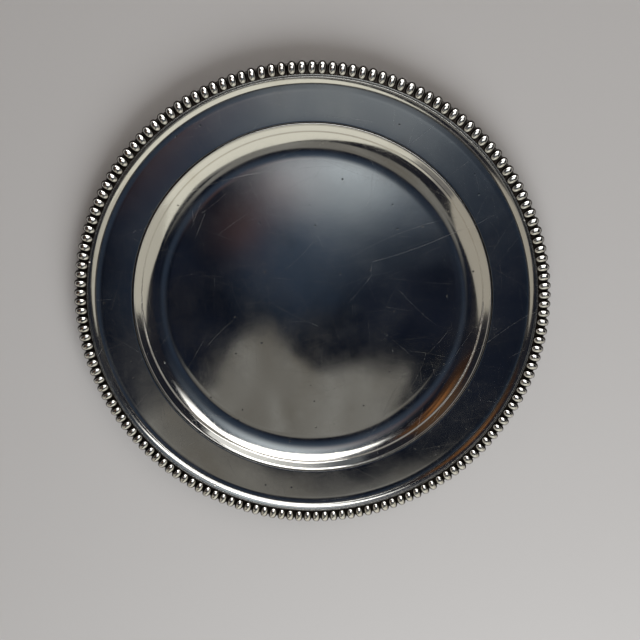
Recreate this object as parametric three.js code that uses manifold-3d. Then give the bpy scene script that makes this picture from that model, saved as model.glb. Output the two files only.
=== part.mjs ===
// A round raised silver plate (paten) with a cast bead border, lying face up.
// Millimetres, +Z up. The origin is at the middle of the underside, where the plate stands.
import * as THREE from 'three';
import { mergeVertices } from 'three/addons/utils/BufferGeometryUtils.js';
import Module from 'manifold-3d';

// ---- Driving dimensions ----------------------------------------------------------------------
const OUTER_RADIUS = 125; // to the tips of the beads
const SHEET = 1.2; // thickness of the raised sheet
const SOLDER_GAP = 0.3; // clearance left between two separate pieces

// Well: a flat floor, a curved wall, a small step, and a bevelled lip inside an incised line
const FLOOR_RADIUS = 76.5; // where the flat floor ends
const WALL_CURVE = 28.4; // radius of the wall's curve, seen in section
const WALL_SLOPE = THREE.MathUtils.degToRad(30); // steepness of the wall at its top
const STEP_WIDTH = 0.6; // the small step between the wall and the bevel
const STEP_RISE = 0.8;
const LIP_RADIUS = 95.4; // the incised line round the mouth of the well
const LIP_DEPTH = 7; // from the lip down to the floor
const LINE_WIDTH = 0.5;
const LINE_DEPTH = 0.35;
const LIP_EDGE = 0.8; // width of the rounded edge beside the line, above the bevel

// Marly: the broad sloping border between the well and the moulding
const MARLY_OUTER = 114.3;
const MARLY_RISE = 2.5;
const EDGE_RADIUS = 124; // outer edge of the sheet
const EDGE_TURN = 1.5; // how far the edge is turned down

// Plain moulding inside the beads
const MOULDING_WIDTH = 3;
const MOULDING_FOOT = 0.3; // height of the small step at its inner edge
const MOULDING_RISE = 1.15; // from that step up to its outer edge

// Bead border: equal cast lengths, butted end to end
const LENGTHS = 5;
const BEADS_PER_LENGTH = 31;
const FIRST_JOINT = THREE.MathUtils.degToRad(95.62); // direction of the joint between the last and first length
const BEAD_LONG = 6.6; // a bead's size along the radius
const BEAD_GAP = 0.3; // space between neighbouring beads
const BEAD_HEIGHT = 2.4; // above the strip that carries it
const BEAD_ROOT = 0.5; // how far a bead goes down into the strip
const STRIP_INNER = 117.6;
const STRIP_OUTER = 123.9;
const STRIP_THICKNESS = 0.7;

// How finely the round pieces are divided
const RING_SEGMENTS = 72;
const STRIP_SEGMENTS = 16; // along one length
const BEAD_SIDES = 8;
const CURVE_STEPS = 3; // straight steps in a curved stretch of an outline, twice as many in an arc
const BEAD_STEPS = 1; // the same, from a bead's edge up to its top

// ---- Values that follow from them ------------------------------------------------------------
const LIP_Z = SHEET + LIP_DEPTH;
const MARLY_Z = LIP_Z + MARLY_RISE;
const FLANGE_Z = MARLY_Z + SOLDER_GAP; // top of the sheet under the border
const STRIP_BOTTOM = FLANGE_Z + SOLDER_GAP;
const STRIP_TOP = STRIP_BOTTOM + STRIP_THICKNESS;
const BEAD_CIRCLE = OUTER_RADIUS - BEAD_LONG / 2;
const BEAD_STEP = (2 * Math.PI) / (LENGTHS * BEADS_PER_LENGTH);
const BEAD_WIDTH = BEAD_CIRCLE * BEAD_STEP - BEAD_GAP;

// ---- Materials -------------------------------------------------------------------------------
function silver(colour, roughness) {
  return new THREE.MeshStandardMaterial({ color: colour, roughness, metalness: 1 });
}

const SHEET_SILVER = silver(0xc9c8c4, 0.2);
const CAST_SILVER = silver(0xbdbbb5, 0.25);

// ---- Helpers ---------------------------------------------------------------------------------
// Turns a closed outline of (radius, height) points round the Z axis.
function turned(outline, segments) {
  return new THREE.LatheGeometry(outline.getPoints(CURVE_STEPS), segments).rotateX(Math.PI / 2);
}

function namedMesh(name, geometry, material) {
  const mesh = new THREE.Mesh(geometry, material);
  mesh.name = name;
  return mesh;
}

const wasm = await Module();
wasm.setup();

// A closed geometry as a solid that can be joined or cut.
function solidOf(geometry) {
  const bare = geometry.clone();
  bare.deleteAttribute('normal');
  bare.deleteAttribute('uv');
  const merged = mergeVertices(bare);
  const vertProperties = new Float32Array(merged.attributes.position.array);
  const triVerts = new Uint32Array(merged.index.array);
  return new wasm.Manifold(new wasm.Mesh({ numProp: 3, vertProperties, triVerts }));
}

function geometryOf(solid) {
  const mesh = solid.getMesh();
  const geometry = new THREE.BufferGeometry();
  geometry.setAttribute('position', new THREE.BufferAttribute(mesh.vertProperties, 3));
  geometry.setIndex(new THREE.BufferAttribute(mesh.triVerts, 1));
  geometry.computeVertexNormals();
  return geometry;
}

// ---- Dish: floor, wall, step, bevelled lip, marly and turned edge, raised from one sheet ---------
function dishOutline() {
  const outline = new THREE.Path();
  const wallTop = {
    r: FLOOR_RADIUS + WALL_CURVE * Math.sin(WALL_SLOPE),
    z: SHEET + WALL_CURVE * (1 - Math.cos(WALL_SLOPE)),
  };
  const backCurve = WALL_CURVE + SHEET;
  const backTop = {
    r: FLOOR_RADIUS + backCurve * Math.sin(WALL_SLOPE),
    z: backCurve * (1 - Math.cos(WALL_SLOPE)),
  };
  const bend = 0.8; // radius of the turned edge's outer corner
  const marlyInner = LIP_RADIUS + LINE_WIDTH / 2;
  const edgeR = LIP_RADIUS - LINE_WIDTH / 2;
  const bevelR = edgeR - LIP_EDGE;
  const bevelZ = LIP_Z - LIP_EDGE / 4;
  const slope = MARLY_RISE / (MARLY_OUTER - marlyInner);
  const flangeR = MARLY_OUTER + SOLDER_GAP / slope;

  // Underside, from the middle outwards
  outline.moveTo(0, 0);
  outline.lineTo(FLOOR_RADIUS, 0);
  outline.absarc(FLOOR_RADIUS, backCurve, backCurve, -Math.PI / 2, WALL_SLOPE - Math.PI / 2, false);
  outline.quadraticCurveTo(bevelR + SHEET / 2, bevelZ - SHEET / 2, marlyInner, LIP_Z - SHEET);
  outline.lineTo(flangeR, FLANGE_Z - SHEET);
  outline.lineTo(EDGE_RADIUS - SHEET, FLANGE_Z - SHEET);
  outline.lineTo(EDGE_RADIUS - SHEET, FLANGE_Z - SHEET - EDGE_TURN);
  outline.lineTo(EDGE_RADIUS, FLANGE_Z - SHEET - EDGE_TURN);

  // Upper side, back to the middle
  outline.lineTo(EDGE_RADIUS, FLANGE_Z - bend);
  outline.quadraticCurveTo(EDGE_RADIUS, FLANGE_Z, EDGE_RADIUS - bend, FLANGE_Z);
  outline.lineTo(flangeR, FLANGE_Z);
  outline.lineTo(marlyInner, LIP_Z);
  outline.lineTo(LIP_RADIUS, LIP_Z - LINE_DEPTH);
  outline.lineTo(edgeR, LIP_Z);
  outline.quadraticCurveTo(edgeR - LIP_EDGE / 2, LIP_Z, bevelR, bevelZ);
  outline.lineTo(wallTop.r + STEP_WIDTH, wallTop.z + STEP_RISE);
  outline.lineTo(wallTop.r, wallTop.z);
  outline.absarc(FLOOR_RADIUS, SHEET + WALL_CURVE, WALL_CURVE, WALL_SLOPE - Math.PI / 2, -Math.PI / 2, true);
  outline.lineTo(0, SHEET);
  return outline;
}

// ---- Plain moulding: a low convex slope up to the border ---------------------------------------
function mouldingOutline() {
  const innerR = MARLY_OUTER;
  const outerR = innerR + MOULDING_WIDTH;
  const marlySlope = MARLY_RISE / (MARLY_OUTER - LIP_RADIUS);
  const flatR = MARLY_OUTER + SOLDER_GAP / marlySlope;
  const bottom = MARLY_Z + SOLDER_GAP;
  const stepZ = bottom + MOULDING_FOOT;
  const topZ = stepZ + MOULDING_RISE;
  const outline = new THREE.Path();
  outline.moveTo(innerR, bottom);
  outline.lineTo(flatR, STRIP_BOTTOM);
  outline.lineTo(outerR, STRIP_BOTTOM);
  outline.lineTo(outerR, topZ - MOULDING_FOOT);
  outline.lineTo(outerR - MOULDING_FOOT, topZ);
  outline.quadraticCurveTo(innerR + MOULDING_WIDTH / 2, topZ, innerR + MOULDING_FOOT, stepZ);
  outline.lineTo(innerR, stepZ);
  outline.closePath();
  return outline;
}

// ---- Bead border -------------------------------------------------------------------------------
// The flat strip under one length, from angle `from` to angle `to`, short of both by half a gap.
function stripGeometry(from, to) {
  const trim = SOLDER_GAP / 2 / BEAD_CIRCLE;
  const shape = new THREE.Shape();
  shape.absarc(0, 0, STRIP_OUTER, from + trim, to - trim, false);
  shape.absarc(0, 0, STRIP_INNER, to - trim, from + trim, true);
  shape.closePath();
  const settings = { depth: STRIP_THICKNESS, bevelEnabled: false, curveSegments: STRIP_SEGMENTS / 2 };
  return new THREE.ExtrudeGeometry(shape, settings).translate(0, 0, STRIP_BOTTOM);
}

// One half-round oval bead, its long axis along the radius, at the given direction.
function beadGeometry(angle) {
  const root = BEAD_ROOT / BEAD_HEIGHT;
  const profile = new THREE.Path();
  profile.moveTo(0, -root);
  profile.lineTo(1, -root);
  profile.absarc(0, 0, 1, 0, Math.PI / 2, false);
  const points = profile.getPoints(BEAD_STEPS);
  points[points.length - 1].x = 0;
  return new THREE.LatheGeometry(points, BEAD_SIDES)
    .rotateX(Math.PI / 2)
    .scale(BEAD_LONG / 2, BEAD_WIDTH / 2, BEAD_HEIGHT)
    .translate(BEAD_CIRCLE, 0, STRIP_TOP)
    .rotateZ(angle);
}

function borderLength(index) {
  const from = FIRST_JOINT + index * BEADS_PER_LENGTH * BEAD_STEP;
  const to = from + BEADS_PER_LENGTH * BEAD_STEP;
  let solid = solidOf(stripGeometry(from, to));
  for (let i = 0; i < BEADS_PER_LENGTH; i += 1) {
    solid = solid.add(solidOf(beadGeometry(from + (i + 0.5) * BEAD_STEP)));
  }
  return geometryOf(solid);
}

// ---- The plate ---------------------------------------------------------------------------------
const plate = new THREE.Group();
plate.add(namedMesh('dish', turned(dishOutline(), RING_SEGMENTS), SHEET_SILVER));
plate.add(namedMesh('rim_moulding', turned(mouldingOutline(), RING_SEGMENTS), CAST_SILVER));
for (let i = 0; i < LENGTHS; i += 1) {
  plate.add(namedMesh(`bead_border_${i + 1}`, borderLength(i), CAST_SILVER));
}

export default plate;
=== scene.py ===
"""A round silver plate with a beaded border, lying face up on a pale floor."""

import math
import random

import bpy
from mathutils import Matrix, Vector, noise


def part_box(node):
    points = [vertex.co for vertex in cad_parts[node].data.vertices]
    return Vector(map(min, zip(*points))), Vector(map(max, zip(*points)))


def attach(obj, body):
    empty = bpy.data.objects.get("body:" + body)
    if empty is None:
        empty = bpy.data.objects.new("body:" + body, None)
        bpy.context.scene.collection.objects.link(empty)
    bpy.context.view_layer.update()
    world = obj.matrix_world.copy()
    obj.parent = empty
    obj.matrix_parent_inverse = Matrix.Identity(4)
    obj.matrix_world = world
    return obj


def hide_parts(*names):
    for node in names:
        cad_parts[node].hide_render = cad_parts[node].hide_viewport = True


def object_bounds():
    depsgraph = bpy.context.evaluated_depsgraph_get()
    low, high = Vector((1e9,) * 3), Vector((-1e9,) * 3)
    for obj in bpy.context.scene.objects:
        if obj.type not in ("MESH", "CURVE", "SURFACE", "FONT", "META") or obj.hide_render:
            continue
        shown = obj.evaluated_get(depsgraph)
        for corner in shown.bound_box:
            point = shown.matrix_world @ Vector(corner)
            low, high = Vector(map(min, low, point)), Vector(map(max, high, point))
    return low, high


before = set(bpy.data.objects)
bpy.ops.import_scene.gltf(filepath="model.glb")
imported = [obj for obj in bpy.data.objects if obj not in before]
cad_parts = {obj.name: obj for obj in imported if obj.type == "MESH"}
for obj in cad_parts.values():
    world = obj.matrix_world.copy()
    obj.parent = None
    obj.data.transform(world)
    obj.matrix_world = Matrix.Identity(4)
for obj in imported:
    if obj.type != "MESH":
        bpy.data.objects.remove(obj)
CAD_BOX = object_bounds()
MM = 0.001

# ---- Sizes read from the frame -----------------------------------------------------------------
DISH_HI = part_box("dish")[1]
BAND_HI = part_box("rim_moulding")[1]
BORDERS = sorted(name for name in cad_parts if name.startswith("bead_border"))
STRIP_BOTTOM = min(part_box(name)[0].z for name in BORDERS)
BEAD_TOP = max(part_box(name)[1].z for name in BORDERS)
OUTER_R = CAD_BOX[1].y
EDGE_R = DISH_HI.x
FLANGE_Z = DISH_HI.z

# ---- Sizes of the plate ------------------------------------------------------------------------
SHEET = 1.2 * MM
FLOOR_R = 76.5 * MM  # where the floor starts to turn up
WALL_CURVE = 28.4 * MM  # radius of the wall's curve, seen in section
WALL_SLOPE = math.radians(30)
WALL_TOP_R = 90.7 * MM
WALL_TOP_Z = 5.0 * MM
STEP_WIDTH = 0.55 * MM  # the small steep step between the wall and the bevel
STEP_RISE = 0.72 * MM
LIP_R = 95.4 * MM  # the incised line round the well
LIP_Z = 8.2 * MM
LIP_EDGE = 0.8 * MM  # width of the rounded edge between that line and the bevel
LIP_EDGE_DROP = 0.2 * MM
LINE_HALF = 0.22 * MM  # half the width of the incised line
LINE_FLAT = 0.07 * MM  # half the width of its bottom
LINE_DEPTH = 0.4 * MM
MARLY_OUTER = 114.3 * MM
MARLY_CURL = 3.5 * MM  # the last part of the marly, which turns up slightly to the moulding
MARLY_SAG = 0.92  # how far up its even slope the marly is where that last part starts
MARLY_Z = FLANGE_Z - 0.3 * MM
FLANGE_START = MARLY_OUTER + 1.2 * MM
EDGE_TURN = 1.5 * MM  # how far the edge is turned down
EDGE_BEND = 0.7 * MM  # radius of its corner
EDGE_ROUND = 0.25 * MM  # how far its lower end bulges
BAND_OUTER = 117.4 * MM
BAND_FOOT = 0.35 * MM  # how far the moulding's inner edge stands above the marly
BAND_GAP = 0.04 * MM  # solder between the moulding and the sheet
STRIP_THICK = 0.7 * MM
STRIP_INNER = 117.55 * MM
STRIP_OUTER = 123.9 * MM
BEAD_LONG = 6.6 * MM
BEAD_GAP = 0.1 * MM  # space between neighbouring beads
BEADS_PER_LENGTH = 31
FIRST_JOINT = math.radians(95.62)  # direction of the joint between the last and first length

STRIP_TOP = STRIP_BOTTOM + STRIP_THICK
BEAD_CIRCLE = OUTER_R - BEAD_LONG / 2
BEAD_STEP = 2 * math.pi / (BEADS_PER_LENGTH * len(BORDERS))
BEAD_WIDTH = BEAD_CIRCLE * BEAD_STEP - BEAD_GAP
BEAD_HIGH = BEAD_TOP - STRIP_TOP
TURNED_SIDES = 480  # round the dish and the moulding


# ---- Outline helpers: lists of (radius, height) ------------------------------------------------
def bezier(points, steps):
    """Points along a Bezier curve of any degree, without its first point."""
    out = []
    for i in range(1, steps + 1):
        t = i / steps
        row = [Vector(p) for p in points]
        while len(row) > 1:
            row = [a.lerp(b, t) for a, b in zip(row, row[1:])]
        out.append(tuple(row[0]))
    return out


def line(start, end, steps):
    return [tuple(Vector(start).lerp(Vector(end), i / steps)) for i in range(1, steps + 1)]


def smoothstep(low, high, value):
    t = min(max((value - low) / (high - low), 0.0), 1.0)
    return t * t * (3 - 2 * t)


# ---- Mesh helpers ------------------------------------------------------------------------------
def mesh_object(name, verts, faces, smooth=True):
    mesh = bpy.data.meshes.new(name)
    mesh.from_pydata(verts, [], faces)
    mesh.validate()
    mesh.update()
    piece = bpy.data.objects.new(name, mesh)
    bpy.context.scene.collection.objects.link(piece)
    if smooth:
        mesh.shade_smooth()
    return piece


def set_crevice(piece, values):
    """How deep in a corner each point lies, from 0 in the open to 1; tarnish and painted shade go there."""
    layer = piece.data.attributes.new("crevice", "FLOAT", "POINT")
    layer.data.foreach_set("value", values)


def turned(name, outline, segments, wobble=None):
    """Revolves a closed outline round Z; a point on the axis becomes one vertex."""
    verts, rings = [], []
    for r, z in outline:
        if r < 1e-9:
            rings.append([len(verts)])
            verts.append(Vector((0.0, 0.0, z)))
            continue
        rings.append(list(range(len(verts), len(verts) + segments)))
        for i in range(segments):
            a = 2 * math.pi * i / segments
            verts.append(Vector((r * math.cos(a), r * math.sin(a), z)))
    if wobble:
        verts = [wobble(v) for v in verts]
    faces = []
    pairs = list(zip(rings, rings[1:]))
    if len(rings[0]) > 1:
        pairs.append((rings[-1], rings[0]))
    for a, b in pairs:
        for i in range(segments):
            j = (i + 1) % segments
            if len(a) == 1:
                faces.append((a[0], b[j], b[i]))
            elif len(b) == 1:
                faces.append((a[i], a[j], b[0]))
            else:
                faces.append((a[i], a[j], b[j], b[i]))
    return mesh_object(name, verts, faces)


# ---- Dish --------------------------------------------------------------------------------------
def dish_outline():
    """The dish's section. The offsets of a fraction of a millimetre round its corners."""
    curl_r = MARLY_OUTER - MARLY_CURL
    rise = (MARLY_Z - LIP_Z) / (MARLY_OUTER - LIP_R)
    curl_z = LIP_Z + (curl_r - LIP_R) * rise * MARLY_SAG
    along = Vector((math.cos(WALL_SLOPE), math.sin(WALL_SLOPE)))
    wall_top = Vector((WALL_TOP_R, WALL_TOP_Z))
    back_top = wall_top + Vector((along.y, -along.x)) * SHEET
    reach = 4 / 3 * math.tan(WALL_SLOPE / 4) * WALL_CURVE  # makes the Bezier curve a circular arc
    inner = EDGE_R - SHEET
    below = FLANGE_Z - SHEET
    foot = below - EDGE_TURN
    line_out = (LIP_R + LINE_HALF, LIP_Z)
    line_in = (LIP_R - LINE_HALF, LIP_Z)
    bevel_top = (line_in[0] - LIP_EDGE, LIP_Z - LIP_EDGE_DROP)
    step_top = (WALL_TOP_R + STEP_WIDTH, WALL_TOP_Z + STEP_RISE)
    # Underside, from the middle outwards
    pts = [(0.0, 0.0)]
    pts += line(pts[-1], (FLOOR_R, 0.0), 40)
    pts += bezier([pts[-1], (FLOOR_R + reach, 0.0), back_top - along * reach, back_top], 30)
    pts += bezier([pts[-1], back_top + along * 0.8 * MM, (line_out[0], LIP_Z - SHEET)], 8)
    pts += line(pts[-1], (curl_r, curl_z - SHEET), 10)
    pts += bezier([pts[-1], (MARLY_OUTER, below), (FLANGE_START, below)], 6)
    pts += line(pts[-1], (inner - EDGE_BEND, below), 4)
    pts += bezier([pts[-1], (inner, below), (inner, below - EDGE_BEND)], 5)
    pts += line(pts[-1], (inner, foot), 2)
    pts += bezier([pts[-1], ((inner + EDGE_R) / 2, foot - EDGE_ROUND), (EDGE_R, foot)], 6)
    # Upper side, back to the middle
    pts += line(pts[-1], (EDGE_R, FLANGE_Z - EDGE_BEND), 3)
    pts += bezier([pts[-1], (EDGE_R, FLANGE_Z), (EDGE_R - EDGE_BEND, FLANGE_Z)], 6)
    pts += line(pts[-1], (FLANGE_START, FLANGE_Z), 4)
    pts += line(pts[-1], (MARLY_OUTER, MARLY_Z), 2)
    pts += bezier([pts[-1], (curl_r + MARLY_CURL * 0.45, curl_z + 0.15 * MM), (curl_r, curl_z)], 8)
    # The incised line and the rounded edge inside it
    pts += line(pts[-1], (line_out[0] + 0.15 * MM, LIP_Z + 0.01 * MM), 24)
    pts += bezier([pts[-1], line_out, (LIP_R + LINE_FLAT, LIP_Z - LINE_DEPTH)], 5)
    pts += line(pts[-1], (LIP_R - LINE_FLAT, LIP_Z - LINE_DEPTH), 1)
    pts += bezier([pts[-1], line_in, (line_in[0] - 0.12 * MM, LIP_Z + 0.02 * MM)], 5)
    pts += bezier([pts[-1], (line_in[0] - 0.5 * MM, LIP_Z + 0.02 * MM), bevel_top], 7)
    # The bevel, the step and the wall
    pts += line(pts[-1], (bevel_top[0] - 0.25 * MM, bevel_top[1] - 0.3 * MM), 3)
    pts += line(pts[-1], (step_top[0] + 0.5 * MM, step_top[1] + 0.38 * MM), 8)
    pts += bezier([pts[-1], (step_top[0] + 0.18 * MM, step_top[1] + 0.22 * MM), step_top], 6)
    pts += line(pts[-1], (WALL_TOP_R + 0.05 * MM, WALL_TOP_Z + 0.06 * MM), 4)
    pts += line(pts[-1], tuple(wall_top), 1)
    curve = [pts[-1], tuple(wall_top - along * reach), (FLOOR_R + reach, SHEET), (FLOOR_R, SHEET)]
    pts += bezier(curve, 44)
    pts += line(pts[-1], (0.0, SHEET), 40)
    return pts


BROAD_WAVES = (20, 0.14 * MM)  # waves per metre, and height
SMALL_WAVES = (55, 0.035 * MM)
FLAT_BELOW, UNEVEN_ABOVE = 0.1 * MM, 1.1 * MM  # the unevenness grows between these heights


def hammered(co):
    """A very shallow unevenness left by raising the sheet; the standing face stays flat."""
    raised = smoothstep(FLAT_BELOW, UNEVEN_ABOVE, co.z)
    broad = noise.noise(co * BROAD_WAVES[0] + Vector((3.1, 0, 0))) * BROAD_WAVES[1]
    small = noise.noise(co * SMALL_WAVES[0] + Vector((0, 7.7, 0))) * SMALL_WAVES[1]
    return co + Vector((0, 0, raised * (broad + small)))


LINE_REACH = 0.8 * MM  # lowest place under the lip that still counts as the upper side
FOOT_REACH = 0.7 * MM  # the same, under the marly's outer edge
# How strongly tarnish and painted shade darken the moulding's foot
FOOT_TARNISH_AND_SHADE = 0.75


def dish_crevice(co):
    """Tarnish and painted shade lie in the incised line, at the foot of the moulding and under the beads,
    not underneath.
    """
    r = math.hypot(co.x, co.y)
    in_line = 0.0
    at_foot = 0.0
    if co.z > LIP_Z - LINE_REACH:
        in_line = 1 - smoothstep(LINE_HALF * 0.9, LINE_HALF * 1.9, abs(r - LIP_R))
    if co.z > MARLY_Z - FOOT_REACH:
        at_foot = FOOT_TARNISH_AND_SHADE * smoothstep(MARLY_OUTER - 0.9 * MM, MARLY_OUTER, r)
    return max(in_line, at_foot)


dish = turned("dish_sheet", dish_outline(), TURNED_SIDES, hammered)
set_crevice(dish, [dish_crevice(v.co) for v in dish.data.vertices])
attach(dish, "root")
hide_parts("dish")


# ---- Moulding ----------------------------------------------------------------------------------
def band_outline():
    """A steep bevel up to the border, with a small rounded step at its inner edge."""
    inner, low, top = MARLY_OUTER, MARLY_Z + BAND_GAP, BAND_HI.z
    flange = FLANGE_Z + BAND_GAP
    step = low + BAND_FOOT
    pts = [(inner, low)]
    pts += line(pts[-1], (inner + 1.3 * MM, flange), 2)
    pts += line(pts[-1], (BAND_OUTER, flange), 2)
    pts += line(pts[-1], (BAND_OUTER, top - 0.2 * MM), 2)
    pts += bezier([pts[-1], (BAND_OUTER, top), (BAND_OUTER - 0.2 * MM, top - 0.02 * MM)], 5)
    pts += bezier([pts[-1], (inner + 1.4 * MM, top - 0.55 * MM), (inner + 0.3 * MM, step)], 14)
    pts += bezier([pts[-1], (inner + 0.1 * MM, step - 0.05 * MM), (inner, step - 0.2 * MM)], 4)
    return pts


def band_crevice(co):
    """Tarnish and painted shade lie along both edges of the moulding."""
    r = math.hypot(co.x, co.y)
    outer = smoothstep(BAND_OUTER - 0.18 * MM, BAND_OUTER, r)
    inner = 0.8 * (1 - smoothstep(MARLY_OUTER, MARLY_OUTER + 0.25 * MM, r))
    return max(outer, inner)


band = turned("moulding_band", band_outline(), TURNED_SIDES)
set_crevice(band, [band_crevice(v.co) for v in band.data.vertices])
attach(band, "root")
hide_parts("rim_moulding")


# ---- Bead border -------------------------------------------------------------------------------
BEAD_AROUND = 32  # divisions round a bead
BEAD_UP = 12  # and from its edge to its top
BEAD_SINK = 0.55 * MM  # how far a bead goes down into its strip
BEAD_SQUARE = 2.2  # power of its outline: 2 is an ellipse, more is squarer
LEAST_LONG = 0.97  # shares of the full size that the smallest beads have
LEAST_WIDE = 0.94
LEAST_HIGH = 0.94
MOST_LEAN = 0.12 * MM  # how far a bead's top may lie off its middle
MOST_TWIST = 0.07  # radians


def add_bead(verts, faces, crevice, angle, rng):
    """One oval half-round bead, slightly uneven as cast and worn."""
    base = len(verts)
    long = BEAD_LONG / 2 * rng.uniform(LEAST_LONG, 1.0)
    wide = BEAD_WIDTH / 2 * rng.uniform(LEAST_WIDE, 1.0)
    high = BEAD_HIGH * rng.uniform(LEAST_HIGH, 1.0)
    lean = rng.uniform(-MOST_LEAN, MOST_LEAN)
    turn = Matrix.Rotation(angle, 4, "Z") @ Matrix.Translation((BEAD_CIRCLE, 0, STRIP_TOP))
    turn = turn @ Matrix.Rotation(rng.uniform(-MOST_TWIST, MOST_TWIST), 4, "Z")
    for level in range(-1, BEAD_UP):
        up = max(level, 0) / BEAD_UP * math.pi / 2
        z = -BEAD_SINK if level < 0 else high * math.sin(up)
        out = math.cos(up)
        for i in range(BEAD_AROUND):
            a = 2 * math.pi * i / BEAD_AROUND
            c, s = math.cos(a), math.sin(a)
            full = (abs(c) ** BEAD_SQUARE + abs(s) ** BEAD_SQUARE) ** (-1 / BEAD_SQUARE)
            x = long * c * full * out + lean * math.sin(up)
            verts.append(turn @ Vector((x, wide * s * full * out, z)))
            # Tarnish and painted shade cover the bead's lower part, least at the inner end and most on the
            # sides, where the neighbours shade it
            bare = 0.87 - 0.06 * c - 0.22 * s * s
            crevice.append(smoothstep(bare - 0.1, bare + 0.06, out))
    verts.append(turn @ Vector((lean, 0, high)))
    verts.append(turn @ Vector((0, 0, -BEAD_SINK)))
    crevice += [0.0, 1.0]
    rows = BEAD_UP + 1
    for row in range(rows - 1):
        for i in range(BEAD_AROUND):
            j = (i + 1) % BEAD_AROUND
            a = base + row * BEAD_AROUND
            b = a + BEAD_AROUND
            faces.append((a + i, a + j, b + j, b + i))
    top = base + rows * BEAD_AROUND
    last = base + (rows - 1) * BEAD_AROUND
    for i in range(BEAD_AROUND):
        j = (i + 1) % BEAD_AROUND
        faces.append((last + i, last + j, top))
        faces.append((base + j, base + i, top + 1))


STRIP_STEPS = 12  # divisions along the strip, for each bead
STRIP_SINK = 0.25 * MM  # how far the strip reaches down to the sheet
HALF_JOINT = 0.04 * MM  # half the gap between two lengths
SCALLOP_POWER = 0.6  # below 1 makes the scallops fuller
SCALLOP_IN = 1.3 * MM  # how far the strip's edge goes in between two beads
SCALLOP_OUT = 0.3 * MM  # and out round a bead


def add_strip(verts, faces, crevice, start, end):
    """The thin strip under one length, its outer edge scalloped round the beads."""
    steps = BEADS_PER_LENGTH * STRIP_STEPS
    trim = HALF_JOINT / BEAD_CIRCLE
    base = len(verts)
    low, top = STRIP_BOTTOM - STRIP_SINK, STRIP_TOP
    for i in range(steps + 1):
        a = start + trim + (end - start - 2 * trim) * i / steps
        scallop = abs(math.sin(math.pi * (a - start) / BEAD_STEP)) ** SCALLOP_POWER
        outer = STRIP_OUTER - SCALLOP_IN + (SCALLOP_IN + SCALLOP_OUT) * scallop
        # The last value in each row sets tarnish and painted shade; the strip's top between the beads is
        # the darkest
        section = (  # radius, height, and how deep in a corner
            (STRIP_INNER, low, 0.9), (outer, low, 0.9), (outer, top - 0.15 * MM, 0.9),
            (outer - 0.15 * MM, top, 1.0), (STRIP_INNER + 1.0 * MM, top, 1.0),
            (STRIP_INNER + 0.75 * MM, top, 0.45), (STRIP_INNER + 0.2 * MM, top, 0.25),
            (STRIP_INNER, top - 0.2 * MM, 1.0),
        )
        for r, z, dark in section:
            verts.append(Vector((r * math.cos(a), r * math.sin(a), z)))
            crevice.append(dark)
    around = len(section)
    for i in range(steps):
        a, b = base + i * around, base + (i + 1) * around
        for k in range(around):
            m = (k + 1) % around
            faces.append((a + k, b + k, b + m, a + m))
    last = base + steps * around
    faces.append(tuple(base + k for k in range(around)))
    faces.append(tuple(last + k for k in reversed(range(around))))


def border(index, name):
    rng = random.Random(101 + index)
    start = FIRST_JOINT + index * BEADS_PER_LENGTH * BEAD_STEP
    end = start + BEADS_PER_LENGTH * BEAD_STEP
    verts, faces, crevice = [], [], []
    add_strip(verts, faces, crevice, start, end)
    for i in range(BEADS_PER_LENGTH):
        add_bead(verts, faces, crevice, start + (i + 0.5) * BEAD_STEP, rng)
    piece = mesh_object(f"bead_length_{index + 1}", verts, faces)
    set_crevice(piece, crevice)
    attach(piece, "root")
    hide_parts(name)
    return piece


border_pieces = [border(index, name) for index, name in enumerate(BORDERS)]


# ---- Node helper -------------------------------------------------------------------------------
class Graph:
    """Builds the nodes of one material or world."""

    def __init__(self, tree):
        self.tree = tree

    def node(self, kind, **settings):
        made = self.tree.nodes.new("ShaderNode" + kind)
        for key, value in settings.items():
            setattr(made, key, value)
        return made

    def put(self, value, socket):
        """Links an output to the socket, or sets a plain value on it."""
        if isinstance(value, bpy.types.NodeSocket):
            self.tree.links.new(value, socket)
        else:
            socket.default_value = value

    def math(self, operation, a, b=0.0, c=0.0):
        made = self.node("Math", operation=operation)
        for value, socket in zip((a, b, c), made.inputs):
            self.put(value, socket)
        return made.outputs[0]

    def vector(self, operation, a, b=(0, 0, 0)):
        made = self.node("VectorMath", operation=operation)
        self.put(a, made.inputs[0])
        self.put(b, made.inputs[1])
        return made.outputs["Value" if operation in ("LENGTH", "DISTANCE", "DOT_PRODUCT") else "Vector"]

    def ease(self, value, low, high, start=0.0, end=1.0):
        """Goes smoothly from start at low to end at high."""
        made = self.node("MapRange", interpolation_type="SMOOTHSTEP")
        for number, socket in zip((value, low, high, start, end), made.inputs):
            self.put(number, socket)
        return made.outputs[0]

    def place(self):
        """The point in metres, as a vector and then as its x, y and z."""
        where = self.node("TexCoord").outputs["Object"]
        axes = self.node("SeparateXYZ")
        self.put(where, axes.inputs[0])
        return where, axes.outputs[0], axes.outputs[1], axes.outputs[2]

    def noise(self, vector, scale, detail=3.0, rough=0.5):
        made = self.node("TexNoise")
        self.put(vector, made.inputs["Vector"])
        for name, value in (("Scale", scale), ("Detail", detail), ("Roughness", rough)):
            made.inputs[name].default_value = value
        return made.outputs["Fac"]

    def turned_and_stretched(self, vector, turn, size, shift):
        """The vector seen in a frame turned about Z, moved, and measured in units of size."""
        made = self.node("Mapping", vector_type="TEXTURE")
        self.put(vector, made.inputs["Vector"])
        made.inputs["Location"].default_value = shift
        made.inputs["Rotation"].default_value = (0, 0, turn)
        made.inputs["Scale"].default_value = size
        return made.outputs[0]

    def blend(self, factor, a, b, how="MIX"):
        made = self.node("Mix", data_type="RGBA", blend_type=how)
        self.put(factor, made.inputs["Factor"])
        for value, socket in ((a, made.inputs[6]), (b, made.inputs[7])):
            self.put((*value, 1) if isinstance(value, tuple) else value, socket)
        return made.outputs[2]


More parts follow.
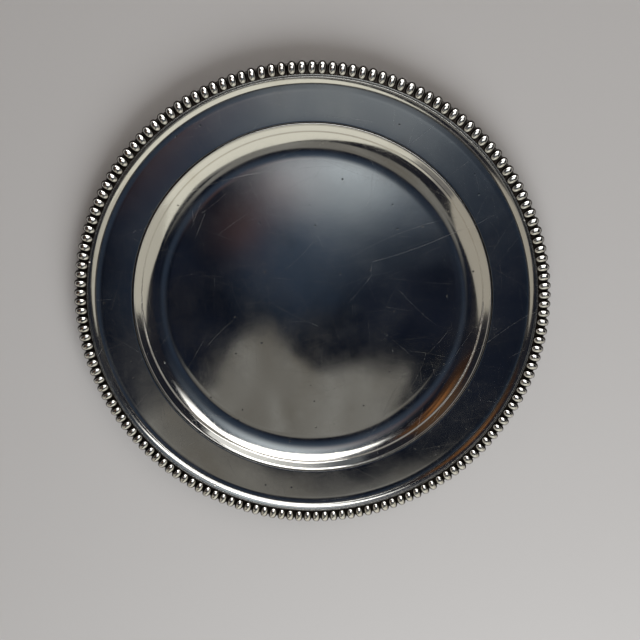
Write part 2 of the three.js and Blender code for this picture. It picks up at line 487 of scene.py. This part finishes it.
# ---- Silver: patterns are measured in millimetres, and noise scales are waves per millimetre -------
STAINED = (0.62, 0.55, 0.45)
PIT_DIRT = (0.08, 0.07, 0.06)
# Near black of the tarnish and painted shade in corners
TARNISH_AND_SHADE_TONE = (0.028, 0.023, 0.02)
SMOOTHEST, ROUGHEST = 0.06, 0.8
WEAR_ROUGH, MARK_ROUGH, TARNISH_AND_SHADE_ROUGH = 0.08, 0.4, 0.3  # what each adds to the roughness
SWELL_DEPTH, MARK_DEPTH, PIT_DEPTH = 0.012 * MM, 0.004 * MM, 0.05 * MM
BRUSHED = ((0.35, 5), (1.5, 31), (2.5, 77))  # direction of each layer of polishing lines, and its shift
BRUSHED_SIZE = (9, 0.22, 1)  # along and across one polishing line, in mm
PIT_ROOM = 14.0  # mm, for each pit
SCRATCH_TILT = 1.2  # most that a scratch leans, as a slope in its cell
SCRATCH_BOW = 0.8  # most that it curves


def scratches(g, where, turn, cell, half_width, depth, shift):
    """Single curved hairlines, at most one in each cell, all within about 30 degrees of turn."""
    flat = g.turned_and_stretched(where, turn, (*cell, 1), shift)
    cells = g.node("TexVoronoi", voronoi_dimensions="2D")
    g.put(flat, cells.inputs["Vector"])
    cells.inputs["Scale"].default_value = 1.0
    away = g.node("SeparateXYZ")
    g.put(g.vector("SUBTRACT", flat, cells.outputs["Position"]), away.inputs[0])
    chance = g.node("SeparateColor")
    g.put(cells.outputs["Color"], chance.inputs[0])
    x, y = away.outputs[0], away.outputs[1]
    tilt = g.math("MULTIPLY_ADD", chance.outputs[0], 2 * SCRATCH_TILT, -SCRATCH_TILT)
    bow = g.math("MULTIPLY_ADD", chance.outputs[1], 2 * SCRATCH_BOW, -SCRATCH_BOW)
    path = g.math("MULTIPLY", x, g.math("MULTIPLY_ADD", bow, x, tilt))
    off = g.math("ABSOLUTE", g.math("SUBTRACT", y, path))
    across = g.ease(off, 0.0, half_width / cell[1], 1.0, 0.0)
    along = g.ease(g.math("ABSOLUTE", x), 0.25, 0.6, 1.0, 0.0)
    present = g.ease(chance.outputs[2], 0.3, 0.98, 0.0, depth)
    return g.math("MULTIPLY", g.math("MULTIPLY", across, along), present)


def pits(g, where, size, shift):
    """Small round dents, few and of uneven depth."""
    cells = g.node("TexVoronoi", voronoi_dimensions="2D")
    g.put(g.turned_and_stretched(where, 0.0, (size, size, 1), shift), cells.inputs["Vector"])
    cells.inputs["Scale"].default_value = 1.0
    chance = g.node("SeparateColor")
    g.put(cells.outputs["Color"], chance.inputs[0])
    round_dent = g.ease(cells.outputs["Distance"], 0.01, 0.045, 1.0, 0.0)
    return g.math("MULTIPLY", round_dent, g.ease(chance.outputs[0], 0.55, 1.0))


def silver(name, bare, low_rough, high_rough, hairlines, wear_depth):
    """Old polished silver: haze, hairlines and pits, with black tarnish and painted shade in the corners.
    """
    material = bpy.data.materials.new(name)
    material.use_nodes = True
    g = Graph(material.node_tree)
    shader = g.tree.nodes["Principled BSDF"]
    shader.inputs["Metallic"].default_value = 1.0
    where = g.vector("MULTIPLY", g.node("TexCoord").outputs["Object"], (1000, 1000, 1000))

    haze = g.noise(where, 0.035, 5.0, 0.6)
    stain = g.ease(g.noise(g.vector("ADD", where, (70, 0, 0)), 0.02, 4.0, 0.6), 0.5, 0.75)
    grain = g.noise(where, 2.2, 3.0, 0.6)
    brushed = [
        g.noise(g.turned_and_stretched(where, turn, BRUSHED_SIZE, (shift, 0, 0)), 1.0, 2.0)
        for turn, shift in BRUSHED
    ]
    wear = g.math("ADD", g.math("ADD", brushed[0], brushed[1]), brushed[2])
    marks = None
    for index, (turn, cell, half_width, depth) in enumerate(hairlines):
        layer = scratches(g, where, turn, cell, half_width, depth, (17 * index + 3, 29 * index + 5, 0))
        marks = layer if marks is None else g.math("MAXIMUM", marks, layer)
    dents = pits(g, where, PIT_ROOM, (3, 8, 0))

    corner = g.node("Attribute", attribute_name="crevice").outputs["Fac"]
    uneven = g.math("MULTIPLY_ADD", grain, 0.5, -0.25)
    # The crevice mask paints tarnish and shade: corners go towards near black and get rougher
    tarnish_and_shade = g.ease(g.math("ADD", corner, uneven), 0.15, 0.85)
    colour = g.blend(g.math("MULTIPLY", stain, 0.35), bare, STAINED)
    colour = g.blend(g.math("MULTIPLY", dents, 0.7), colour, PIT_DIRT)
    colour = g.blend(tarnish_and_shade, colour, TARNISH_AND_SHADE_TONE)
    g.put(colour, shader.inputs["Base Color"])

    rough = g.ease(haze, 0.3, 0.7, low_rough, high_rough)
    mean_wear = len(BRUSHED) / 2
    rough = g.math("ADD", rough, g.math("MULTIPLY", g.math("SUBTRACT", wear, mean_wear), WEAR_ROUGH))
    rough = g.math("ADD", rough, g.math("MULTIPLY", marks, MARK_ROUGH))
    rough = g.math("ADD", rough, g.math("MULTIPLY", tarnish_and_shade, TARNISH_AND_SHADE_ROUGH))
    rough = g.math("MAXIMUM", rough, SMOOTHEST)
    g.put(g.math("MINIMUM", rough, ROUGHEST), shader.inputs["Roughness"])

    height = g.math("MULTIPLY", g.noise(where, 0.11, 2.0, 0.4), SWELL_DEPTH)
    height = g.math("ADD", height, g.math("MULTIPLY", wear, wear_depth))
    height = g.math("SUBTRACT", height, g.math("MULTIPLY", marks, MARK_DEPTH))
    height = g.math("SUBTRACT", height, g.math("MULTIPLY", dents, PIT_DEPTH))
    bump = g.node("Bump")
    bump.inputs["Strength"].default_value = 1.0
    bump.inputs["Distance"].default_value = 1.0
    g.put(height, bump.inputs["Height"])
    g.put(bump.outputs[0], shader.inputs["Normal"])
    return material


# Layers of hairlines: main direction, room for each one along and across it in mm, half width in mm,
# and strength
SHEET_HAIRLINES = (
    (0.15, (20, 6), 0.08, 0.4),
    (0.95, (30, 9), 0.09, 0.45),
    (1.8, (16, 5), 0.07, 0.4),
    (2.75, (42, 14), 0.09, 0.42),
    (0.45, (85, 34), 0.11, 0.6),
)
CAST_HAIRLINES = ((0.4, (5, 2.5), 0.06, 0.6), (1.9, (4, 2), 0.06, 0.6))
sheet = silver("silver_sheet", (0.87, 0.85, 0.81), 0.06, 0.125, SHEET_HAIRLINES, 0.0012 * MM)
drawn = silver("silver_drawn", (0.88, 0.86, 0.82), 0.08, 0.15, SHEET_HAIRLINES, 0.0012 * MM)
cast = silver("silver_cast", (0.88, 0.86, 0.82), 0.1, 0.19, CAST_HAIRLINES, 0.002 * MM)
dish.data.materials.append(sheet)
band.data.materials.append(drawn)
for piece in border_pieces:
    piece.data.materials.append(cast)


# ---- Stage: cards that only the polished metal reflects, in metres ------------------------------
def glowing(name):
    """An emission material, its graph and its emission node."""
    material = bpy.data.materials.new(name)
    material.use_nodes = True
    g = Graph(material.node_tree)
    g.tree.nodes.remove(g.tree.nodes["Principled BSDF"])
    glow = g.node("Emission")
    g.put(glow.outputs[0], g.tree.nodes["Material Output"].inputs["Surface"])
    return material, g, glow


def card(name, corners, material):
    """A flat reflector that only the polished metal sees."""
    piece = mesh_object(name, [Vector(c) for c in corners], [(0, 1, 2, 3)], smooth=False)
    piece.data.materials.append(material)
    piece.visible_camera = False
    piece.visible_diffuse = False
    piece.visible_shadow = False


CREAM = (0.66, 0.65, 0.57)
CREAM_AT_FOOT = (0.3, 0.29, 0.27)
LOW_Y = -0.45
LOW_HALF = 0.36
LOW_TOPS = (0.95, 0.55)  # its height at the ends and in the middle


def low_reflector():
    """A cream reflector below the plate's near edge, lower in the middle and greyer at its foot."""
    material, g, glow = glowing("low_reflector")
    _, _, _, z = g.place()
    g.put(g.blend(g.ease(z, 0.02, 0.16), CREAM_AT_FOOT, CREAM), glow.inputs["Color"])
    end_top, middle_top = LOW_TOPS
    corners = [
        (-LOW_HALF, LOW_Y, 0),
        (LOW_HALF, LOW_Y, 0),
        (LOW_HALF, LOW_Y, end_top),
        (0, LOW_Y, middle_top),
        (-LOW_HALF, LOW_Y, end_top),
    ]
    card("low_reflector", corners, material)


SIDE_X = 0.34
SIDE_NEAR = -0.46
SIDE_FOOT = 0.02
SIDE_TOPS = (0.97, 0.45)  # its height at the near and far ends


def side_reflector(name, x, far, colour):
    """A cream reflector beside the plate, with its top edge sloping down away from the near end."""
    material, _, glow = glowing(name)
    glow.inputs["Color"].default_value = (*colour, 1)
    near_top, far_top = SIDE_TOPS
    corners = [(x, SIDE_NEAR, SIDE_FOOT), (x, far, SIDE_FOOT), (x, far, far_top), (x, SIDE_NEAR, near_top)]
    card(name, corners, material)


WINDOW_X = (-0.3, 0.6)
WINDOW_FAR_EDGE = (1.25, 0.42)  # y and z
WINDOW_NEAR_EDGE = (0.02, 1.15)
WINDOW_NEAR_LIGHT = (2.4, 2.4, 2.35)
WINDOW_FAR_LIGHT = (5, 4.95, 4.85)
NEAR_LIGHT_STARTS = (0.02, 0.24)  # each of these is a soft edge, from one y to the next
FAR_LIGHT_STARTS = (0.7, 0.8)
BAR_STARTS = (0.52, 0.6)
BAR_ENDS = (0.76, 0.84)
BAR_SLOPE = 0.3  # how the bar's edges run across the window
BAR_BEND = 0.6
BAR_LEFT = (0.1, 0.11, 0.12)
BAR_RIGHT = (0.75, 0.76, 0.74)


def window():
    """A leaning window beyond the plate's far edge, with a soft near edge and a darker bar across it."""
    material, g, glow = glowing("window")
    _, x, y, _ = g.place()
    bent = g.math("MULTIPLY_ADD", g.math("ABSOLUTE", x), BAR_BEND, y)
    near_side = g.math("MULTIPLY_ADD", x, -BAR_SLOPE, bent)
    far_side = g.math("MULTIPLY_ADD", x, BAR_SLOPE, y)
    bar = g.math("MULTIPLY", g.ease(near_side, *BAR_STARTS), g.ease(far_side, *BAR_ENDS, 1.0, 0.0))
    light = g.blend(g.ease(y, *NEAR_LIGHT_STARTS), (0, 0, 0), WINDOW_NEAR_LIGHT)
    light = g.blend(g.ease(far_side, *FAR_LIGHT_STARTS), light, WINDOW_FAR_LIGHT)
    dim = g.blend(g.ease(x, -0.2, 0.35), BAR_LEFT, BAR_RIGHT)
    g.put(g.blend(bar, light, dim), glow.inputs["Color"])
    left, right = WINDOW_X
    corners = [
        (left, *WINDOW_FAR_EDGE),
        (right, *WINDOW_FAR_EDGE),
        (right, *WINDOW_NEAR_EDGE),
        (left, *WINDOW_NEAR_EDGE),
    ]
    card("window", corners, material)


CEILING_Z = 0.6
SHEET_HALF = 0.2
SHEET_Y = (-0.47, 0.13)
SHEET_TONES = (0.001, 0.002, 0.005), (0.007, 0.01, 0.019)
PAPER_TONES = (0.125, 0.12, 0.108), (0.2, 0.2, 0.19)
PAPER_EDGE = (-0.23, -0.195)  # the paper's soft edge, in y, before it is made uneven
EDGE_WAVE = 0.06
PATCHES = (  # centre, radius, and the light that each one adds
    ((0.05, 0.065, 0), 0.22, (0.1, 0.13, 0.165)),
    ((0.035, 0.055, 0), 0.15, (0.36, 0.385, 0.39)),
    ((-0.03, -0.11, 0), 0.12, (0.02, 0.03, 0.046)),
    ((-0.05, 0.0, 0), 0.08, (0.07, 0.045, 0.04)),
    ((-0.1, -0.06, 0), 0.06, (0.035, 0.017, 0.012)),
)


def overhead():
    """A dark sheet overhead with soft pale patches, and grey paper with an uneven edge at its near end."""
    material, g, glow = glowing("overhead")
    place, x, y, _ = g.place()
    cloud = g.noise(place, 9.0, 4.0, 0.55)
    colour = g.blend(g.ease(cloud, 0.3, 0.7), *SHEET_TONES)
    for centre, radius, tone in PATCHES:
        away = g.vector("DISTANCE", g.vector("MULTIPLY", place, (1, 1, 0)), centre)
        colour = g.blend(g.ease(away, 0.0, radius, 1.0, 0.0), colour, tone, "ADD")
    # The paper's edge is wavy, lies further out on the left, and is cut off at both ends
    edge = g.math("ADD", y, g.math("MULTIPLY_ADD", cloud, 2 * EDGE_WAVE, -EDGE_WAVE))
    edge = g.math("ADD", edge, g.ease(x, -0.07, 0.0, -0.02, 0.045))
    edge = g.math("ADD", edge, g.ease(x, -0.16, -0.1, 0.08, 0.0))
    corner = g.ease(g.math("MULTIPLY_ADD", y, -0.67, x), 0.29, 0.34, 0.0, 0.12)
    edge = g.math("ADD", edge, corner)
    uneven = g.noise(g.vector("MULTIPLY", place, (40, 9, 1)), 1.0, 3.0, 0.5)
    paper = g.blend(g.ease(uneven, 0.3, 0.7), *PAPER_TONES)
    g.put(g.blend(g.ease(edge, *PAPER_EDGE, 1.0, 0.0), colour, paper), glow.inputs["Color"])
    near, far = SHEET_Y
    corners = [
        (-SHEET_HALF, near, CEILING_Z),
        (SHEET_HALF, near, CEILING_Z),
        (SHEET_HALF, far, CEILING_Z),
        (-SHEET_HALF, far, CEILING_Z),
    ]
    card("overhead", corners, material)


VEIL_Z = 0.1
VEIL_CENTRE = (0, -0.027, 0)  # of the circle that its inner edge follows
VEIL_EDGE = (0.091, 0.101)  # where it starts and is full, as radii of that circle
VEIL_MIDDLE = 0.014
VEIL_HALF = 0.075
VEIL_LIGHT = (0.165, 0.183, 0.2)
VEIL_THINNEST = 0.65
VEIL_X = (-0.09, 0.09)
VEIL_Y = (0.02, 0.1)


def far_veil():
    """A thin pale veil hung low over the far edge, which only the sloping border there reflects."""
    material, g, glow = glowing("far_veil")
    place, x, _, _ = g.place()
    aside = g.math("ABSOLUTE", g.math("ADD", x, -VEIL_MIDDLE))
    away = g.vector("DISTANCE", g.vector("MULTIPLY", place, (1, 1, 0)), VEIL_CENTRE)
    streaks = g.noise(g.vector("MULTIPLY", place, (70, 9, 1)), 1.0, 3.0, 0.5)
    thick = g.math("MULTIPLY", g.ease(away, *VEIL_EDGE), g.ease(aside, 0.0, VEIL_HALF, 1.0, 0.0))
    thick = g.math("MULTIPLY", thick, g.ease(streaks, 0.25, 0.7, VEIL_THINNEST, 1.0))
    glow.inputs["Color"].default_value = (*VEIL_LIGHT, 1)
    clear = g.node("BsdfTransparent")
    mixed = g.node("MixShader")
    for value, socket in zip((thick, clear.outputs[0], glow.outputs[0]), mixed.inputs):
        g.put(value, socket)
    g.put(mixed.outputs[0], g.tree.nodes["Material Output"].inputs["Surface"])
    left, right = VEIL_X
    near, far = VEIL_Y
    corners = [(left, near, VEIL_Z), (right, near, VEIL_Z), (right, far, VEIL_Z), (left, far, VEIL_Z)]
    card("far_veil", corners, material)


BOARD_LEFT = -0.62
BOARD_NEAR = -0.07
BOARD_FAR = (0.42, 0.18)  # its far edge at the left and right ends
WOOD_TONES = (0.03, 0.014, 0.007), (0.25, 0.105, 0.036)
WOOD_LEFT_END = (0.07, 0.04, 0.022)
WOOD_RIGHT_END = (0.01, 0.009, 0.012)
WOOD_NEAR_EDGE = (0.025, 0.013, 0.009)


def wooden_board():
    """A streaky brown board beside the overhead sheet, on its left."""
    material, g, glow = glowing("wooden_board")
    place, x, y, _ = g.place()
    streaks = g.noise(g.vector("MULTIPLY", place, (22, 5, 1)), 1.0, 3.0, 0.5)
    colour = g.blend(g.ease(streaks, 0.35, 0.62), *WOOD_TONES)
    colour = g.blend(g.ease(x, -0.42, -0.36), WOOD_LEFT_END, colour)
    colour = g.blend(g.ease(x, -0.26, -0.22), colour, WOOD_RIGHT_END)
    colour = g.blend(g.ease(y, -0.03, 0.06), WOOD_NEAR_EDGE, colour)
    g.put(colour, glow.inputs["Color"])
    far_left, far_right = BOARD_FAR
    corners = [
        (BOARD_LEFT, BOARD_NEAR, CEILING_Z),
        (-SHEET_HALF, BOARD_NEAR, CEILING_Z),
        (-SHEET_HALF, far_right, CEILING_Z),
        (BOARD_LEFT, far_left, CEILING_Z),
    ]
    card("wooden_board", corners, material)


# ---- Floor, room and lights --------------------------------------------------------------------
FLOOR_HALF = 4
FLOOR_Z = -0.2 * MM  # clear of the plate's standing face
FLOOR_PAPER = (0.61, 0.588, 0.576)
WALLS = (0.63, 0.575, 0.54)
WALLS_LIGHT = 0.26
MIRRORED_HORIZON = (0.25, 0.24, 0.225)
MIRRORED_CEILING = (0.01, 0.011, 0.016)
HORIZON_TOP = (0.3, 0.52)  # the light horizon's soft upper edge, as the z of a direction


def floor():
    sides = ((-1, -1), (1, -1), (1, 1), (-1, 1))
    corners = [(x * FLOOR_HALF, y * FLOOR_HALF, FLOOR_Z) for x, y in sides]
    piece = mesh_object("floor", corners, [(0, 1, 2, 3)], smooth=False)
    material = bpy.data.materials.new("floor_paper")
    material.use_nodes = True
    shader = material.node_tree.nodes["Principled BSDF"]
    shader.inputs["Base Color"].default_value = (*FLOOR_PAPER, 1)
    shader.inputs["Roughness"].default_value = 0.9
    piece.data.materials.append(material)


def room():
    """Pale studio walls for the floor, and a dark room with a lighter horizon for the metal."""
    world = bpy.data.worlds.new("room")
    bpy.context.scene.world = world
    world.use_nodes = True
    g = Graph(world.node_tree)
    walls = g.tree.nodes["Background"]
    walls.inputs["Color"].default_value = (*WALLS, 1)
    walls.inputs["Strength"].default_value = WALLS_LIGHT
    mirrored = g.node("Background")
    way = g.node("SeparateXYZ")
    g.put(g.node("TexCoord").outputs["Generated"], way.inputs[0])
    low = g.ease(way.outputs[2], *HORIZON_TOP, 1.0, 0.0)
    g.put(g.blend(low, MIRRORED_CEILING, MIRRORED_HORIZON), mirrored.inputs["Color"])
    choose = g.node("MixShader")
    g.put(g.node("LightPath").outputs["Is Glossy Ray"], choose.inputs[0])
    g.put(walls.outputs[0], choose.inputs[1])
    g.put(mirrored.outputs[0], choose.inputs[2])
    g.put(choose.outputs[0], g.tree.nodes["World Output"].inputs["Surface"])


def soft_light(name, location, size, power, colour):
    """A round lamp turned to the plate, which lights the floor and isn't seen in the metal."""
    data = bpy.data.lights.new(name, "AREA")
    data.shape = "DISK"
    data.size = size
    data.energy = power
    data.color = colour
    lamp = bpy.data.objects.new(name, data)
    lamp.location = location
    lamp.rotation_euler = (-Vector(location)).to_track_quat("-Z", "Y").to_euler()
    lamp.visible_glossy = False
    bpy.context.scene.collection.objects.link(lamp)


floor()
low_reflector()
overhead()
window()
side_reflector("right_reflector", SIDE_X, -0.12, (0.43, 0.415, 0.36))
side_reflector("left_reflector", -SIDE_X, -0.13, (0.33, 0.31, 0.265))
wooden_board()
far_veil()
room()
soft_light("key_light", (0.6, 0.8, 1.2), 1.2, 3.9, (1, 0.98, 0.95))
soft_light("fill_light", (0.25, -0.7, 0.7), 0.9, 8.0, (0.96, 1, 1.02))

# ---- Camera ------------------------------------------------------------------------------------
CAMERA_X, CAMERA_Y = 0.0078, 0.1113
CAMERA_HEIGHT = 0.406  # above the strip that carries the beads
CAMERA_TILT = math.radians(16.08)
CAMERA_TURN = math.radians(0.5)

camera_data = bpy.data.cameras.new("camera")
camera_data.sensor_width = 36
camera_data.lens = 45
camera = bpy.data.objects.new("camera", camera_data)
camera.location = (CAMERA_X, CAMERA_Y, STRIP_TOP + CAMERA_HEIGHT)
camera.rotation_euler = (-CAMERA_TILT, CAMERA_TURN, 0)
bpy.context.scene.collection.objects.link(camera)
bpy.context.scene.camera = camera
bpy.context.scene.view_settings.view_transform = "Standard"
